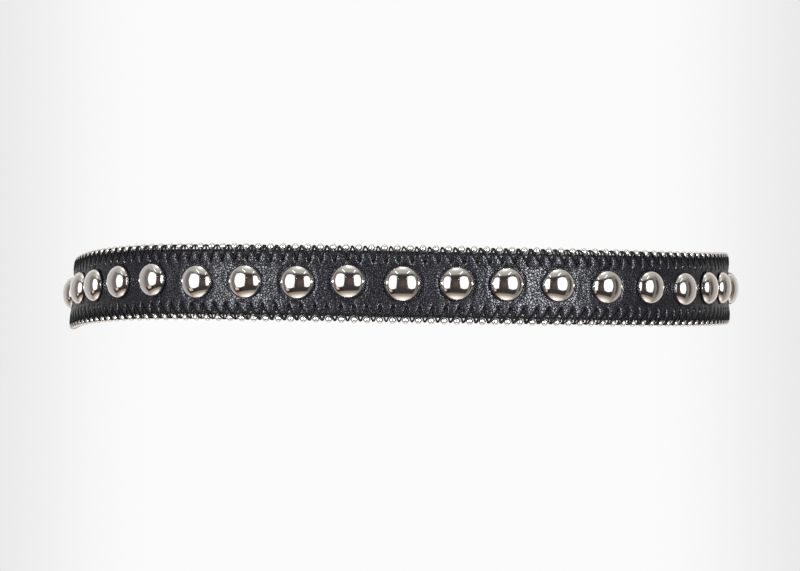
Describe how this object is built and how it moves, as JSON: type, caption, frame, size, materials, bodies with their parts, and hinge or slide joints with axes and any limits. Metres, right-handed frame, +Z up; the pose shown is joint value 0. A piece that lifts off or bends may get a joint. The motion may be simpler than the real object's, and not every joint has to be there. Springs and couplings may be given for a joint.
{
  "type": "studded belt",
  "caption": "Black leather belt fastened in a loop, with one row of domed metal studs and a laced ball chain along each edge.",
  "frame": {"origin": "the middle of the waist that the belt goes round, at the height where the belt sits", "axes": "+Z up, -Y to the front of the belt, +X to the right as the picture shows it"},
  "size_m": [0.258, 0.2165, 0.0322],
  "materials": {
    "leather": "black, fine pebbled grain, soft sheen",
    "nickel": "bright polished nickel, slightly warm",
    "chain_metal": "bright nickel-plated beads",
    "sleeve_metal": "satin",
    "thread": "black waxed thread"
  },
  "bodies": {
    "root": {"strap": "leather", "stud_01": "nickel", "stud_02": "nickel", "stud_03": "nickel", "stud_04": "nickel", "stud_05": "nickel", "stud_06": "nickel", "stud_07": "nickel", "stud_08": "nickel", "stud_09": "nickel", "stud_10": "nickel", "stud_11": "nickel", "stud_12": "nickel", "stud_13": "nickel", "stud_14": "nickel", "stud_15": "nickel", "stud_16": "nickel", "stud_17": "nickel", "stud_18": "nickel", "stud_19": "nickel", "stud_20": "nickel", "stud_21": "nickel", "stud_22": "nickel", "stud_23": "nickel", "stud_24": "nickel", "stud_25": "nickel", "stud_26": "nickel", "stud_27": "nickel", "stud_28": "nickel", "stud_29": "nickel", "stud_30": "nickel", "stud_31": "nickel", "stud_32": "nickel", "stud_33": "nickel", "stud_34": "nickel", "stud_35": "nickel", "stud_36": "nickel", "stud_37": "nickel", "chain_top": "chain_metal", "chain_bottom": "chain_metal", "clasp_sleeve": "sleeve_metal"}
  },
  "joints": []
}
